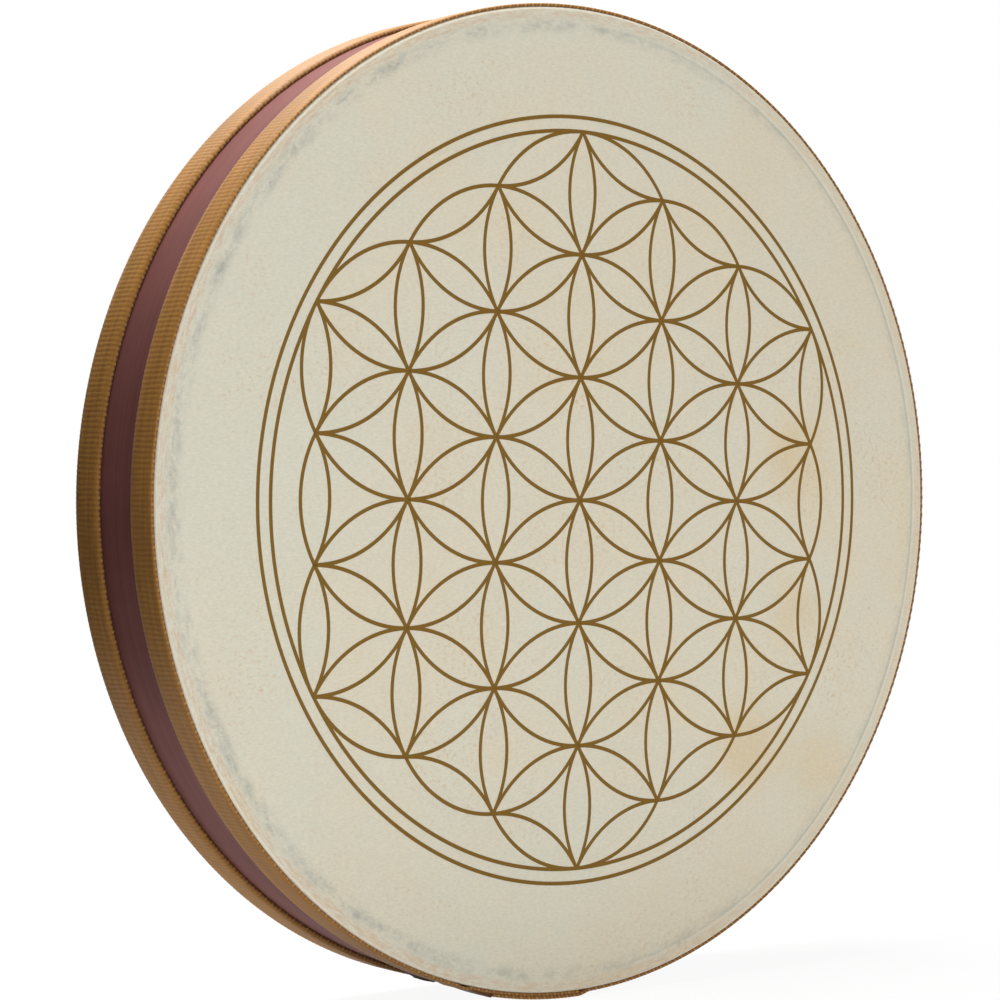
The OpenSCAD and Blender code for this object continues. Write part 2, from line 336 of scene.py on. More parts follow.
def print_ink(name, ink):
    """Screen-printed bronze-brown ink: thin, slightly glossy, and worn where the grain stands up."""
    material, tree = new_material(name)
    place = add(tree, "ShaderNodeTexCoord", output="Object")
    grain = add(tree, "ShaderNodeTexNoise", {"Vector": place, "Scale": 900, "Detail": 3, "Roughness": 0.7})
    worn = add(tree, "ShaderNodeMapRange", {VALUE: grain, LOW: 0.5, HIGH: 0.8, TO_HIGH: 0.2})
    colour = add(tree, "ShaderNodeMix", {FACTOR: worn, UNDER: ink, OVER: linear("#8d6f38")}, **COLOUR_MIX)
    relief = add(tree, "ShaderNodeBump", {"Height": grain, "Strength": 0.3, "Distance": 0.05 * MM})
    film = add(tree, "ShaderNodeBsdfPrincipled",
               {"Base Color": colour, "Roughness": 0.55, "IOR": 1.48, "Specular IOR Level": 0.1, "Normal": relief})
    add(tree, "ShaderNodeOutputMaterial", {"Surface": film})
    return material


def ribbed_ribbon(name, thread):
    """Woven polyester ribbon: thick wefts under fine warps, silky on the ribs, with painted shade in the grooves.
    Its map counts pairs of ribs along the ribbon, and runs from 0 to 1 across it."""
    material, tree = new_material(name)
    cloth = add(tree, "ShaderNodeUVMap", uv_map=WEAVE_MAP)
    along = add(tree, "ShaderNodeSeparateXYZ", {"Vector": cloth}, "X")
    across = along.node.outputs["Y"]

    # Painted shade in the grooves between the ribs
    ribs = add(tree, "ShaderNodeMath", {0: along, 1: 2}, operation="MULTIPLY")
    phase = add(tree, "ShaderNodeMath", {0: ribs}, operation="FRACT")
    off_crest = away_from(tree, phase, 0.5)
    groove_shade = add(tree, "ShaderNodeMapRange", {VALUE: off_crest, LOW: 0.1, HIGH: 0.5, TO_HIGH: 0.36},
                 interpolation_type="SMOOTHSTEP")
    colour = add(tree, "ShaderNodeMix", {FACTOR: groove_shade, UNDER: thread, OVER: linear("#6c4118")}, **COLOUR_MIX)

    # Bands of tighter and looser warps, some 3 mm wide and 50 mm long
    banded = add(tree, "ShaderNodeMapping", {"Vector": cloth, "Scale": (0.1, 7, 1)})
    bands = add(tree, "ShaderNodeTexNoise", {"Vector": banded, "Scale": 1, "Detail": 3})
    colour = shaded(tree, colour, bands, 0.8, 1.12)

    # Single warp threads, drawn 0.8 mm wide, which is coarser than they are, so that they show
    threaded = add(tree, "ShaderNodeMapping", {"Vector": cloth, "Scale": (2.4, 25, 1)})
    warps = add(tree, "ShaderNodeTexNoise", {"Vector": threaded, "Scale": 1, "Detail": 2})
    colour = shaded(tree, colour, warps, 0.9, 1.07)

    # Selvedges: a loop of weft on each rib, larger on every other one, painted lighter as a highlight, with painted
    # shade in the gaps between
    turn = add(tree, "ShaderNodeMath", {0: along, 1: 2 * math.pi}, operation="MULTIPLY")
    wave = add(tree, "ShaderNodeMath", {0: turn}, operation="SINE")
    larger = add(tree, "ShaderNodeMapRange", {VALUE: wave, LOW: -1, HIGH: 1, TO_LOW: 0.45})
    loop_highlight = add(tree, "ShaderNodeMapRange", {VALUE: off_crest, LOW: 0.4, HIGH: 0.16})
    share = add(tree, "ShaderNodeMath", {0: loop_highlight, 1: larger}, operation="MULTIPLY")
    edge = add(tree, "ShaderNodeMix", {FACTOR: share, UNDER: linear("#6f4625"), OVER: linear("#a67d40")}, **COLOUR_MIX)
    off_middle = away_from(tree, across, 0.5)
    selvedge = add(tree, "ShaderNodeMapRange", {VALUE: off_middle, LOW: 0.48, HIGH: 0.49})
    colour = add(tree, "ShaderNodeMix", {FACTOR: selvedge, UNDER: colour, OVER: edge}, **COLOUR_MIX)

    relief = add(tree, "ShaderNodeBump", {"Height": warps, "Strength": 0.5, "Distance": 0.15 * MM})
    # The silky warps run along the ribbon, so its shine spreads a quarter turn from them, across it
    lengthwise = add(tree, "ShaderNodeTangent", direction_type="UV_MAP", uv_map=WEAVE_MAP)
    fibre = add(tree, "ShaderNodeBsdfPrincipled",
                {"Base Color": colour, "Roughness": 0.5, "IOR": 1.5, "Specular IOR Level": 0.24,
                 "Anisotropic": 0.9, "Anisotropic Rotation": 0.25, "Tangent": lengthwise,
                 "Sheen Weight": 0.02, "Sheen Roughness": 0.4, "Normal": relief})
    add(tree, "ShaderNodeOutputMaterial", {"Surface": fibre})
    return material


def streaked(name, dark, pale, scale, depth, **finish):
    """A material whose colour and relief follow one stretched noise on Object coordinates."""
    material, tree = new_material(name)
    place = add(tree, "ShaderNodeTexCoord", output="Object")
    stretched = add(tree, "ShaderNodeMapping", {"Vector": place, "Scale": scale})
    streaks = add(tree, "ShaderNodeTexNoise", {"Vector": stretched, "Scale": 1, "Detail": 4, "Roughness": 0.55})
    share = add(tree, "ShaderNodeMapRange", {VALUE: streaks, LOW: 0.3, HIGH: 0.7})
    colour = add(tree, "ShaderNodeMix", {FACTOR: share, UNDER: dark, OVER: pale}, **COLOUR_MIX)
    # Cloudy patches, some 60 mm long
    clouds = add(tree, "ShaderNodeTexNoise", {"Vector": place, "Scale": 18, "Detail": 2})
    colour = shaded(tree, colour, clouds, 0.9, 1.08)
    relief = add(tree, "ShaderNodeBump", {"Height": streaks, "Strength": 0.5, "Distance": depth})
    constants = {socket.replace("_", " "): value for socket, value in finish.items()}
    shader = add(tree, "ShaderNodeBsdfPrincipled", {"Base Color": colour, "Normal": relief, **constants})
    add(tree, "ShaderNodeOutputMaterial", {"Surface": shader})
    return material


def material_named(name):
    """A material of the drum, made the first time that a piece asks for it."""
    if name in bpy.data.materials:
        return bpy.data.materials[name]
    scene = bpy.context.scene
    if name == "scraped_goatskin":
        return goatskin(name, scene.drum_finish.hide)
    if name == "screen_printed_ink":
        return print_ink(name, scene.drum_print.ink)
    if name == "woven_polyester_ribbon":
        return ribbed_ribbon(name, scene.drum_ribbon.thread)
    if name == "stained_birch_veneer":
        # Maroon stain under satin lacquer. Grain streaks of 2 mm run round the hoop
        return streaked(name, scene.drum_finish.stain, linear("#754a44"), (4, 420, 4), 0.1 * MM,
                        Roughness=0.6, Specular_IOR_Level=0.08)
    if name == "bare_birch_veneer":
        # Rotary-cut birch, bare: pale, with fine brown flecks along the grain
        return streaked(name, linear("#b8935f"), linear("#d9bd92"), (9, 500, 9), 0.08 * MM,
                        Roughness=0.65, Specular_IOR_Level=0.3)
    if name == "shade_darkened_thread":
        # Polyester thread, its colour painted dark as shade, and shiny in streaks
        return streaked(name, linear("#42230f"), linear("#785024"), (60, 1400, 60), 0.3 * MM,
                        Roughness=0.5, Specular_IOR_Level=0.15)
    if name == "moulded_rubber":
        # Nitrile rubber from a fine-textured mould: nearly black, with a soft bloom
        return streaked(name, linear("#2f190f"), linear("#44291b"), (150, 150, 150), 0.05 * MM,
                        Roughness=0.6, IOR=1.52, Specular_IOR_Level=0.06)
    if name == "galvanised_wire":
        # Drawn steel wire with a zinc coat: grey, with dull spangles
        return streaked(name, linear("#8f9296"), linear("#c3c6c9"), (900, 900, 900), 0.02 * MM,
                        Metallic=1.0, Roughness=0.38)
    # Steel balls, tumbled bright, with a faint haze of handling
    return streaked("polished_steel", linear("#b9bcc0"), linear("#d2d4d8"), (600, 600, 600), 0.004 * MM,
                    Metallic=1.0, Roughness=0.14)


# Modelling


def deselect():
    """Leaves edit mode with nothing selected."""
    if bpy.context.mode != "OBJECT":
        bpy.ops.object.mode_set(mode="OBJECT")
    bpy.ops.object.select_all(action="DESELECT")


def activate(piece):
    """Selects one piece alone."""
    deselect()
    piece.select_set(True)
    bpy.context.view_layer.objects.active = piece


def start(name):
    """Names the primitive that was just added and puts its place in its mesh."""
    piece = bpy.context.object
    piece.name = name
    piece.data.name = name
    bpy.ops.object.transform_apply(location=True, rotation=True, scale=True)
    return piece


def pick(piece, test):
    """Goes into edit mode with the vertices selected whose places pass a test."""
    bpy.ops.object.mode_set(mode="EDIT")
    bpy.ops.mesh.select_mode(type="VERT")
    bpy.ops.mesh.select_all(action="DESELECT")
    bpy.ops.object.mode_set(mode="OBJECT")
    for vertex in piece.data.vertices:
        vertex.select = test(vertex.co)
    bpy.ops.object.mode_set(mode="EDIT")


def move(piece, test, offset):
    """Moves the vertices whose places pass a test."""
    pick(piece, test)
    bpy.ops.transform.translate(value=offset)
    bpy.ops.object.mode_set(mode="OBJECT")


def extrude(offset):
    """Extrudes what is selected in edit mode, and leaves the new end selected."""
    bpy.ops.mesh.extrude_region_move(TRANSFORM_OT_translate={"value": offset})


def tidy_mesh():
    """In edit mode, merges doubled vertices and turns all faces outwards."""
    bpy.ops.mesh.select_all(action="SELECT")
    bpy.ops.mesh.remove_doubles(threshold=TINY)
    bpy.ops.mesh.normals_make_consistent(inside=False)


def apply_modifier(piece, kind, **settings):
    """Adds a modifier with its settings and applies it."""
    modifier = piece.modifiers.new(kind.lower(), kind)
    for name, value in settings.items():
        setattr(modifier, name, value)
    activate(piece)
    bpy.ops.object.modifier_apply(modifier=modifier.name)


def place_flat(piece, matrix):
    """Puts a piece in place and stands it up on the rim, with its object left at the origin."""
    activate(piece)
    upright = Matrix.Translation((0, 0, AXIS_HEIGHT)) @ Matrix.Rotation(math.pi / 2, 4, "X")
    piece.matrix_world = upright @ matrix
    bpy.ops.object.transform_apply(location=True, rotation=True, scale=True)


def complete(piece, material, body, smooth_angle):
    """Gives a finished piece its shading, its material and the body that it rides on."""
    activate(piece)
    bpy.ops.object.shade_smooth_by_angle(angle=math.radians(smooth_angle))
    piece.data.materials.clear()
    piece.data.materials.append(material_named(material))
    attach(piece, body)


def turned(name, profile, segments):
    """A closed round piece about Z. The profile runs from the middle of the face to the middle of the back."""
    first_r, first_z = profile[0]
    deselect()
    bpy.ops.mesh.primitive_circle_add(
        vertices=segments, radius=first_r, fill_type="TRIFAN", location=(0, 0, first_z)
    )
    piece = start(name)
    pick(piece, lambda co: co.xy.length > first_r / 2)
    for (r, z), (next_r, next_z) in zip(profile, profile[1:]):
        extrude((0, 0, next_z - z))
        bpy.ops.transform.resize(value=(next_r / r, next_r / r, 1), center_override=(0, 0, 0))
    extrude((0, 0, 0))
    bpy.ops.mesh.merge(type="CENTER")
    tidy_mesh()
    deselect()
    return piece


def corner(middle_r, middle_z, radius, start_angle, end_angle, steps):
    """Profile points round a corner."""
    turns = [math.radians(start_angle + (end_angle - start_angle) * i / steps) for i in range(steps + 1)]
    return [(middle_r + radius * math.cos(t), middle_z + radius * math.sin(t)) for t in turns]


# Faces across a woven strip, and the width of the shoulder where its face falls to its edges
STRIP_ACROSS = 10
SHOULDER = 0.6 * MM
# How far the face falls at its edges, and the two steps of the wall below, as shares of the strip's height
EDGE_FALL = 0.35
WALL_STEPS = (0.3, 0.1)
# How far the face sinks beside a hem, and how much further at it, as shares of the hem's depth
BESIDE_HEM, AT_HEM = 0.3, 0.65


def strip(name, length, width, heights, insets, hem=0, hem_side=1):
    """A strip along X with its face towards +Y and its back on y = 0, open at its two ends.
    Each column of its mesh has a height of its own and an inset of its two edges of its own.
    A hem along the edge at one side in Z reaches down below the back, and the face sinks with it."""
    columns = len(heights) - 1
    deselect()
    bpy.ops.mesh.primitive_grid_add(
        x_subdivisions=columns, y_subdivisions=STRIP_ACROSS, size=1, location=(length / 2, 0, 0),
        rotation=(-math.pi / 2, 0, 0),
    )
    bpy.context.object.scale = (length, width, 1)
    piece = start(name)
    edge = width / 2
    beside = edge * (1 - 2 / STRIP_ACROSS)
    inner = edge - max(insets) - SHOULDER
    near = length / columns / 4
    for column, (height, inset) in enumerate(zip(heights, insets)):
        x = length * column / columns
        move(piece, lambda co: abs(co.x - x) < near, (0, height, 0))
        for sign in (-1, 1):
            move(piece, lambda co: abs(co.x - x) < near and abs(co.z * sign - edge) < TINY,
                 (0, -EDGE_FALL * height, -sign * inset))
    for sign in (-1, 1):
        move(piece, lambda co: abs(co.z * sign - beside) < TINY, (0, 0, sign * (inner - beside)))
    if hem:
        move(piece, lambda co: co.z * hem_side > inner - TINY, (0, -BESIDE_HEM * hem, 0))
        move(piece, lambda co: co.z * hem_side > inner + SHOULDER / 2, (0, -AT_HEM * hem, 0))
    # Both walls go down and draw in to a foot line on the back
    foot = edge - max(insets) - SHOULDER / 5
    for sign in (-1, 1):
        pick(piece, lambda co: co.z * sign > inner + SHOULDER / 2)
        for step in WALL_STEPS:
            extrude((0, -step * min(heights), 0))
        bpy.ops.transform.resize(value=(1, 0, 0), center_override=(0, 0, sign * foot))
        bpy.ops.object.mode_set(mode="OBJECT")
    # The hem is as wide as it is deep. It goes down, in and up again, and the back joins it to the other foot
    if hem:
        pick(piece, lambda co: abs(co.y) < TINY and co.z * hem_side > 0)
        bpy.ops.transform.translate(value=(0, -hem, 0))
        extrude((0, 0, -hem_side * hem))
        extrude((0, hem, 0))
        bpy.ops.object.mode_set(mode="OBJECT")
    pick(piece, lambda co: abs(co.y) < TINY and co.z * hem_side < 0)
    extrude((0, 0, hem_side * (2 * foot - hem)))
    tidy_mesh()
    deselect()
    piece.data.uv_layers[0].name = WEAVE_MAP
    return piece


def close_ends(piece):
    """Fills the open ends of a strip."""
    activate(piece)
    bpy.ops.object.mode_set(mode="EDIT")
    bpy.ops.mesh.select_mode(type="VERT")
    bpy.ops.mesh.select_all(action="DESELECT")
    bpy.ops.mesh.select_non_manifold()
    bpy.ops.mesh.fill_holes(sides=0)
    tidy_mesh()
    deselect()


def ruffle(piece, size, strength):
    """Pushes a strip's vertices to and fro along it by a soft random pattern of the given size."""
    clouds = bpy.data.textures.new("ruffle", "CLOUDS")
    clouds.noise_scale = size
    apply_modifier(piece, "DISPLACE", texture=clouds, texture_coords="LOCAL", direction="X",
                   strength=strength, mid_level=0.5)
    bpy.data.textures.remove(clouds)


def bend_along(piece, points):
    """Bends a piece that lies along X round a path in the plane z = 0, with its face outwards."""
    curve = bpy.data.curves.new("bend_path", "CURVE")
    curve.dimensions = "3D"
    curve.twist_mode = "Z_UP"
    spline = curve.splines.new("POLY")
    spline.points.add(len(points) - 1)
    for point, place in zip(spline.points, points):
        point.co = (*place, 1)
    path = bpy.data.objects.new("bend_path", curve)
    bpy.context.scene.collection.objects.link(path)
    apply_modifier(piece, "CURVE", object=path, deform_axis="POS_X")
    bpy.data.objects.remove(path)
    bpy.data.curves.remove(curve)


def at_angle(radius, angle):
    """A place on a circle round the drum's axis."""
    turn = math.radians(angle)
    return Vector((radius * math.cos(turn), radius * math.sin(turn), 0))


# The ribbons

# Columns of mesh in a rib, and how flat its top is: below 1, the top is flatter than a sine
RIB_STEPS = 4
RIB_FLATNESS = 0.8
PATH_STEPS = 1600
# How far a ribbon's inner edge is pulled down, past the skin, towards the shell
HEM = 0.95 * MM
# How steeply the tail falls, and how far its frayed edge turns at each step, so that the fray looks random
TAIL_CURVE = 0.8
FRAY_TURN = 1.7


def midway(side):
    """The shift from the drum's middle plane to the middle of a ribbon's width."""
    low, high = RIBBONS[side]
    return Matrix.Translation((0, 0, -(low.y + high.y) / 2))


def ribbon_path(side):
    """The ribbon's underside, from its cut lower end once round the rim and up over itself."""
    lap_start, lap_end = LAPS[side]
    climb = math.degrees(LAP_CLIMB / RIBBON_IN)
    foot = lap_end - 360 + climb
    points = []
    for step in range(PATH_STEPS + 1):
        angle = lap_end + (lap_start - 360 - lap_end) * step / PATH_STEPS
        risen = min(max((foot - angle) / climb, 0), 1)
        radius = RIBBON_IN + RIBBON_T * risen * risen * (3 - 2 * risen)
        off_bump = abs(angle - BUMP_ANGLE) / BUMP_SPAN
        if side == "front" and off_bump < 1:
            radius += BUMP_HEIGHT * math.cos(off_bump * math.pi / 2) ** 2
        points.append(at_angle(radius, angle))
    return points


class DRUM_OT_ribbon(bpy.types.Operator):
    """Weaves a ribbon two ribs at a time, and bends it round the rim and over its own lower end"""

    bl_idname = "drum.ribbon"
    bl_label = "Ribbon"

    side: bpy.props.EnumProperty(
        name="Side",
        description="Which rim the ribbon goes round",
        items=SIDES,
    )

    def execute(self, context):
        sizes = context.scene.drum_ribbon
        points = ribbon_path(self.side)
        length = sum((b - a).length for a, b in zip(points, points[1:]))
        pairs = round(length / (2 * sizes.rib_pitch))
        pair = length / pairs
        turns = [math.pi * step / RIB_STEPS for step in range(2 * RIB_STEPS + 1)]
        heights = [RIBBON_T - sizes.rib_relief * (1 - abs(math.sin(turn)) ** RIB_FLATNESS) for turn in turns]
        # The weft runs out of one rib and back into the next, so its loops join the ribs in pairs
        insets = [sizes.loop_depth * (0.5 + 0.5 * math.cos(turn)) for turn in turns]
        # The hem is on the edge that lies away from the skin's face
        inward = -1 if self.side == "front" else 1
        piece = strip(f"{self.side}_webbing", pair, RIBBON_WIDTH, heights, insets, HEM, inward)
        apply_modifier(
            piece, "ARRAY", count=pairs, use_relative_offset=False, use_constant_offset=True,
            constant_offset_displace=(pair, 0, 0), use_merge_vertices=True, merge_threshold=TINY, offset_u=1.0,
        )
        close_ends(piece)
        ruffle(piece, size=12 * MM, strength=sizes.wander)
        bend_along(piece, points)
        place_flat(piece, midway(self.side))
        complete(piece, "woven_polyester_ribbon", "drum", smooth_angle=65)
        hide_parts(f"{self.side}_ribbon")
        return {"FINISHED"}


class DRUM_OT_tail(bpy.types.Operator):
    """Lays the tail of threads, painted dark as shade, against the front ribbon's upper end"""

    bl_idname = "drum.tail"
    bl_label = "Shaded Tail"

    def execute(self, context):
        steps = 3 * TAIL_THREADS
        ridges = [TAIL_RIDGE * math.sin(math.pi * (step % 3) / 3) for step in range(steps + 1)]
        fall = TAIL_HEIGHT - TAIL_THIN - TAIL_RIDGE
        heights = [TAIL_THIN + fall * (1 - step / steps) ** TAIL_CURVE + ridge for step, ridge in enumerate(ridges)]
        insets = [TAIL_FRAY * (1 + math.sin(FRAY_TURN * step)) for step in range(steps + 1)]
        piece = strip("shaded_tail", TAIL_LENGTH, RIBBON_WIDTH - 2 * TAIL_FRAY, heights, insets)
        close_ends(piece)
        ruffle(piece, size=7 * MM, strength=1.2 * MM)
        end = LAPS["front"][0]
        sweep = math.degrees(TAIL_LENGTH / RIBBON_OUT)
        bend_along(piece, [at_angle(RIBBON_OUT - TAIL_SUNK, end - sweep * step / steps) for step in range(steps + 1)])
        place_flat(piece, midway("front"))
        complete(piece, "shade_darkened_thread", "drum", smooth_angle=50)
        return {"FINISHED"}


# The skins

SKIN_SEGMENTS = 360
# Radii in millimetres of the rings of the flat face
SKIN_RINGS = (40, 80, 120, 160, 195, 220, 234, 241, 244.5)
# How much further than the frame's the lip is trimmed back, to leave room for the ribbon's hem
TUCK = 1.2 * MM
# The lip's cut edge, outside and inside
LIP_CUT = 0.3 * MM
LIP_INNER_CUT = 0.2 * MM


class DRUM_OT_skin(bpy.types.Operator):
    """Draws a skin tight over one bearing edge, with its lip tucked under the ribbon"""

    bl_idname = "drum.skin"
    bl_label = "Skin"

    side: bpy.props.EnumProperty(
        name="Side",
        description="Which side of the hoop the skin closes",
        items=SIDES,
    )

    def execute(self, context):
        low, high = SKINS[self.side]
        lip = FACE - (high.y - low.y) + TUCK
        bend_r = SHELL_R - BEARING_R
        bend_z = SHELL_HALF_DEPTH - BEARING_R
        inside = BEARING_R + GLUE_LINE
        profile = [(r * MM, FACE) for r in SKIN_RINGS]
        profile += corner(bend_r, bend_z, inside + SKIN_T, 90, 0, 8)
        profile += [(SKIN_R, lip + LIP_CUT), (SKIN_R - LIP_CUT, lip)]
        profile += [(SKIN_R - SKIN_T + LIP_INNER_CUT, lip), (SKIN_R - SKIN_T, lip + LIP_INNER_CUT)]
        profile += corner(bend_r, bend_z, inside, 0, 90, 4)
        profile += [(r * MM, FACE - SKIN_T) for r in reversed(SKIN_RINGS)]
        piece = turned(f"{self.side}_skin", profile, SKIN_SEGMENTS)
        place_flat(piece, Matrix.Rotation(math.pi if self.side == "rear" else 0, 4, "X"))
        complete(piece, "scraped_goatskin", "drum", smooth_angle=40)
        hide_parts(f"{self.side}_head")
        return {"FINISHED"}


# The print

ARC_STEPS = 16
RING_STEPS = 240
# The ink's thickness. Each next sixth of a circle is thicker by a step, so that crossing lines don't share a top
INK_FILM = 0.03 * MM
INK_STEP = 0.006 * MM
# Circles from the pattern's middle to its points, and the steps from a lattice point to its six neighbours
LATTICE_REACH = 3
NEIGHBOURS = ((1, 0), (0, 1), (-1, 1), (-1, 0), (0, -1), (1, -1))


def lattice(reach):
    """The points of a triangular lattice within a hexagon."""
    span = range(-reach, reach + 1)
    return [(i, j) for i in span for j in span if abs(i + j) <= reach]


def printed_arcs():
    """Centre, start angle and layer of each sixth of a circle whose two ends lie on the pattern's points."""
    points = set(lattice(LATTICE_REACH))
    arcs = []
    for i, j in lattice(LATTICE_REACH + 1):
        for k in range(6):
            ends = [(i + di, j + dj) for di, dj in (NEIGHBOURS[k], NEIGHBOURS[(k + 1) % 6])]
            if points.issuperset(ends):
                arcs.append((Vector((i * math.sqrt(3) / 2, j + i / 2, 0)), 30 + 60 * k, k))
    return arcs


def printed_line(name, radius, width, film, sweep, steps):
    """A flat printed line round the Z axis: its section, spun through an angle."""
    deselect()
    bpy.ops.mesh.primitive_plane_add(size=1, location=(radius, 0, film / 2), rotation=(math.pi / 2, 0, 0))
    bpy.context.object.scale = (width, film, 1)
    piece = start(name)
    bpy.ops.object.mode_set(mode="EDIT")
    bpy.ops.mesh.select_all(action="SELECT")
    bpy.ops.mesh.spin(steps=steps, angle=sweep, center=(0, 0, 0), axis=(0, 0, 1))
    tidy_mesh()
    deselect()
    return piece


class DRUM_OT_print(bpy.types.Operator):
    """Prints the Flower of Life, a traditional pattern of overlapping circles, with two rings round it"""

    bl_idname = "drum.print"
    bl_label = "Print"

    def execute(self, context):
        sizes = context.scene.drum_print
        pattern_r = LATTICE_REACH * sizes.circle_r
        arc = printed_line("arc", sizes.circle_r, sizes.line_width, 1, math.pi / 3, ARC_STEPS)
        spun_back = min(vertex.co.y for vertex in arc.data.vertices) < -TINY
        lines = []
        for centre, angle, layer in printed_arcs():
            copy = bpy.data.objects.new("arc", arc.data.copy())
            context.scene.collection.objects.link(copy)
            turn = Matrix.Rotation(math.radians(angle + 60 * spun_back), 4, "Z")
            film = Matrix.Diagonal((1, 1, INK_FILM + layer * INK_STEP, 1))
            copy.matrix_world = Matrix.Translation(centre * sizes.circle_r) @ turn @ film
            lines.append(copy)
        bpy.data.objects.remove(arc)
        for radius in (pattern_r, pattern_r + sizes.ring_gap):
            film = INK_FILM + len(NEIGHBOURS) * INK_STEP
            lines.append(printed_line("ring", radius, sizes.line_width, film, 2 * math.pi, RING_STEPS))
        activate(lines[0])
        for line in lines:
            line.select_set(True)
        bpy.ops.object.join()
        piece = start("print_lines")
        place_flat(piece, Matrix.Translation((0, 0, FACE - INK_STEP / 2)))
        complete(piece, "screen_printed_ink", "drum", smooth_angle=40)
        return {"FINISHED"}


# The filling plug

PLUG_SEGMENTS = 64
# Radii in millimetres of the dome's rings, and the two between which a shallow ring is moulded on it
DOME_RINGS = (0.6, 1.6, 3.0, 4.4, 4.8, 5.4, 5.8, 7.2, 8.4, 9.4, 10.0, 10.4)
MOULDED_RING = (4.6, 5.6)
MOULDED_RING_HEIGHT = 0.25 * MM
CAP_ROUND = 0.4 * MM
SEAT_ROUND = 0.2 * MM
NECK_FLARE = 0.4 * MM
FOOT_CHAMFER = 0.8 * MM
# The hollow in the shank's foot
HOLLOW_R = 4.0 * MM
HOLLOW_END_R = 3.0 * MM
HOLLOW_DEPTH = 2.0 * MM


class DRUM_OT_plug(bpy.types.Operator):
    """Moulds the rubber plug that closes the filling hole, and seats it between the ribbons"""

    bl_idname = "drum.plug"
    bl_label = "Filling Plug"

    def execute(self, context):
        rim = PLUG_SEAT + PLUG_RIM
        dome_r = (PLUG_CAP_R**2 + PLUG_DOME**2) / (2 * PLUG_DOME)
        middle = rim + PLUG_DOME - dome_r
        profile = []
        for r in DOME_RINGS:
            raised = MOULDED_RING_HEIGHT if MOULDED_RING[0] < r < MOULDED_RING[1] else 0
            profile.append((r * MM, middle + math.sqrt(dome_r**2 - (r * MM) ** 2) + raised))
        profile += corner(PLUG_CAP_R - CAP_ROUND, rim - CAP_ROUND / 4, CAP_ROUND, 60, 0, 3)
        profile += corner(PLUG_CAP_R - SEAT_ROUND, PLUG_SEAT + SEAT_ROUND, SEAT_ROUND, 0, -90, 3)
        profile += [(PLUG_SHANK_R + NECK_FLARE, PLUG_SEAT), (PLUG_SHANK_R, PLUG_SEAT - NECK_FLARE)]
        profile += [(PLUG_SHANK_R, PLUG_FOOT + FOOT_CHAMFER), (PLUG_SHANK_R - FOOT_CHAMFER, PLUG_FOOT)]
        profile += [(HOLLOW_R, PLUG_FOOT), (HOLLOW_END_R, PLUG_FOOT + HOLLOW_DEPTH)]
        piece = turned("rubber_plug", profile, PLUG_SEGMENTS)
        turn = Matrix.Rotation(math.radians(PLUG_ANGLE), 4, "Z")
        place_flat(piece, turn @ Matrix.Rotation(math.pi / 2, 4, "Y"))
        complete(piece, "moulded_rubber", "plug", smooth_angle=35)
        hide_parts("fill_plug")
        return {"FINISHED"}


# The hoop, the staples and the shot, which the frame carries over

JOIN_WITHIN = 0.01 * MM
SHARP_FROM = math.radians(30)


def smoothing():
    """A node group that joins the frame's loose triangles and shades them smooth, but for sharp edges."""
    tree = bpy.data.node_groups.new("smooth_rounds", "GeometryNodeTree")
    tree.interface.new_socket("Geometry", in_out="INPUT", socket_type="NodeSocketGeometry")
    tree.interface.new_socket("Geometry", in_out="OUTPUT", socket_type="NodeSocketGeometry")
    loose = add(tree, "NodeGroupInput")
    joined = add(tree, "GeometryNodeMergeByDistance", {"Geometry": loose, "Distance": JOIN_WITHIN})
    rounded = add(tree, "GeometryNodeSetShadeSmooth", {"Geometry": joined, "Shade Smooth": True}, domain="FACE")
    angle = add(tree, "GeometryNodeInputMeshEdgeAngle")
    sharp = add(tree, "FunctionNodeCompare", {0: angle, 1: SHARP_FROM},
                data_type="FLOAT", operation="GREATER_THAN")
    edged = add(tree, "GeometryNodeSetShadeSmooth",
                {"Geometry": rounded, "Selection": sharp, "Shade Smooth": False}, domain="EDGE")
    add(tree, "NodeGroupOutput", {"Geometry": edged})
    return tree


def dress(names, material, group=None):
    """Gives nodes of the frame their material, and smooth rounds where a group is given."""
    for name in names:
        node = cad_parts[name]
        node.data.materials.clear()
        node.data.materials.append(material_named(material))
        if group:
            node.modifiers.new("smooth_rounds", "NODES").node_group = group


class DRUM_OT_carried(bpy.types.Operator):
    """Stains the hoop, and finishes the plies, the staples and the steel shot"""

    bl_idname = "drum.carried"
    bl_label = "Hoop, Staples and Shot"

    def execute(self, context):
        group = smoothing()
        shot = [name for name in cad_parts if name.startswith("shot_")]
        dress(("outer_ply",), "stained_birch_veneer", group)
        dress(("second_ply", "middle_ply", "fourth_ply", "inner_ply"), "bare_birch_veneer", group)
        dress(("front_staples", "rear_staples"), "galvanised_wire")
        dress(shot, "polished_steel", group)
        # The nodes that a piece replaces are dressed too, for when that piece isn't built
        dress(("front_head", "rear_head"), "scraped_goatskin")
        dress(("front_ribbon", "rear_ribbon"), "woven_polyester_ribbon")
        dress(("fill_plug",), "moulded_rubber")
        return {"FINISHED"}


# The stage

# The floor is white to the camera beyond the far distance, and nearly so within the near one
FLOOR_SIZE = 12
NEAR, FAR = 0.2, 1.2
NEAR_WHITENESS = 0.93
CARD_PLACE = (-0.38, 0.6, 0.32)
CARD_SIZE = (0.52, 1.3, 1)
# Name, place, width, height and watts of each soft box
SOFT_BOXES = (
    ("top_box", (-0.12, 0.22, 1.5), 1.0, 0.8, 37),
    ("key_box", (-0.3, -2.2, 0.75), 1.0, 1.0, 22.5),
    ("rear_box", (0.3, 2.4, 0.8), 1.0, 1.0, 12),
)
SURROUNDING_LIGHT = 0.16
